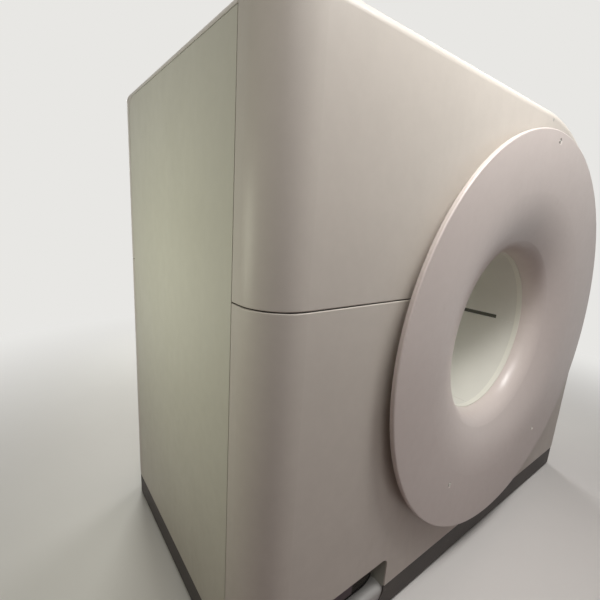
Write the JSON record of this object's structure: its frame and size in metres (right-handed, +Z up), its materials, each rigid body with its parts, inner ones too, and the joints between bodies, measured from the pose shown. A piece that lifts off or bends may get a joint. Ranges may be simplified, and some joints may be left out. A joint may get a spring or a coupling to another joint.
{
  "type": "combined PET and CT scanner gantry",
  "caption": "Tall scanner gantry on a dark skirt, with a wide bell mouth leading into a round patient tunnel and an arched right shoulder.",
  "frame": {"origin": "on the floor, under the middle of the gantry's outer box", "axes": "+Z up, +X to the right seen from the front, +Y from the front towards the back along the patient tunnel"},
  "size_m": [2.175, 1.279, 1.855],
  "materials": {
    "shell": "satin light paint",
    "bell": "smooth moulded plastic",
    "side": "satin greenish beige paint",
    "liner": "satin",
    "skirt": "fine grained dark plastic",
    "dark": "matt black",
    "floor": "light grey paint",
    "recess": "light grey green moulding",
    "screw": "plain",
    "frame": "grey paint",
    "steel": "ground",
    "iron": "machined casting",
    "alloy": "machined",
    "brass": "turned",
    "box": "light grey paint",
    "rubber": "ribbed",
    "fan": "black"
  },
  "bodies": {
    "gantry": {"front_bell_mouth": "bell", "front_bell_screws": "screw", "rear_bell_mouth": "bell", "rear_bell_screws": "screw", "front_cover_upper": "shell", "front_cover_lower": "shell", "rear_cover_upper": "shell", "rear_cover_lower": "shell", "cover_lock": "screw", "side_panel_left": "side", "side_panel_right": "side", "top_cover": "shell", "top_vent_grille": "dark", "skirt_front": "skirt", "skirt_left": "skirt", "skirt_right": "skirt", "skirt_rear": "skirt", "recess_liner": "recess", "recess_apron": "floor", "front_throat_lip": "liner", "rear_throat_lip": "liner", "tunnel_liner_top": "liner", "tunnel_liner_lower_left": "liner", "tunnel_liner_lower_right": "liner", "positioning_light_bar": "dark", "cover_frame": "frame", "base_frame": "frame", "base_cross_members": "frame", "levelling_feet": "steel", "stator_frame": "frame", "bearing_outer_race": "steel", "brush_block": "fan", "drive_motor": "iron", "motor_mount": "frame", "drive_belt": "rubber", "ring_frame": "frame", "detector_modules": "alloy", "front_shield": "box", "rear_shield": "box", "power_cabinet": "box", "electronics_cabinet": "box", "exhaust_fan_frames": "fan"},
    "rotor": {"rotor_disc": "iron", "bearing_inner_race": "steel", "slip_ring": "brass", "xray_tube": "box", "collimator": "alloy", "detector_arc": "alloy", "hv_tank_left": "box", "hv_tank_right": "box", "tube_cooler": "alloy", "rotor_controller": "box", "balance_weights": "iron"},
    "cage": {"bearing_cage": "brass", "bearing_rollers": "steel"},
    "pulley": {"motor_pulley": "alloy", "motor_shaft": "steel"},
    "cooler_fan": {"cooler_fan": "fan"},
    "exhaust_fan_1": {"exhaust_fan_1": "fan"},
    "exhaust_fan_2": {"exhaust_fan_2": "fan"}
  },
  "joints": [
    {"name": "rotor_spin", "type": "hinge", "parent": "gantry", "child": "rotor", "pos_m": [0.1275, 0, 0.97], "axis": [0, 1, 0], "continuous": true},
    {"name": "cage_spin", "type": "hinge", "parent": "gantry", "child": "cage", "pos_m": [0.1275, 0, 0.97], "axis": [0, 1, 0], "continuous": true},
    {"name": "pulley_spin", "type": "hinge", "parent": "gantry", "child": "pulley", "pos_m": [-0.772, 0, 0.43], "axis": [0, 1, 0], "continuous": true},
    {"name": "cooler_fan_spin", "type": "hinge", "parent": "rotor", "child": "cooler_fan", "pos_m": [0.51287, 0, 1.35537], "axis": [0, 1, 0], "continuous": true},
    {"name": "exhaust_fan_1_spin", "type": "hinge", "parent": "gantry", "child": "exhaust_fan_1", "pos_m": [-0.42, -0.1125, 1.8], "axis": [0, 0, 1], "continuous": true},
    {"name": "exhaust_fan_2_spin", "type": "hinge", "parent": "gantry", "child": "exhaust_fan_2", "pos_m": [-0.42, 0.1375, 1.8], "axis": [0, 0, 1], "continuous": true}
  ],
  "couplings": [
    {"joint": "cage_spin", "follows": "rotor_spin", "ratio": 0.48589},
    {"joint": "pulley_spin", "follows": "rotor_spin", "ratio": 10.218}
  ]
}
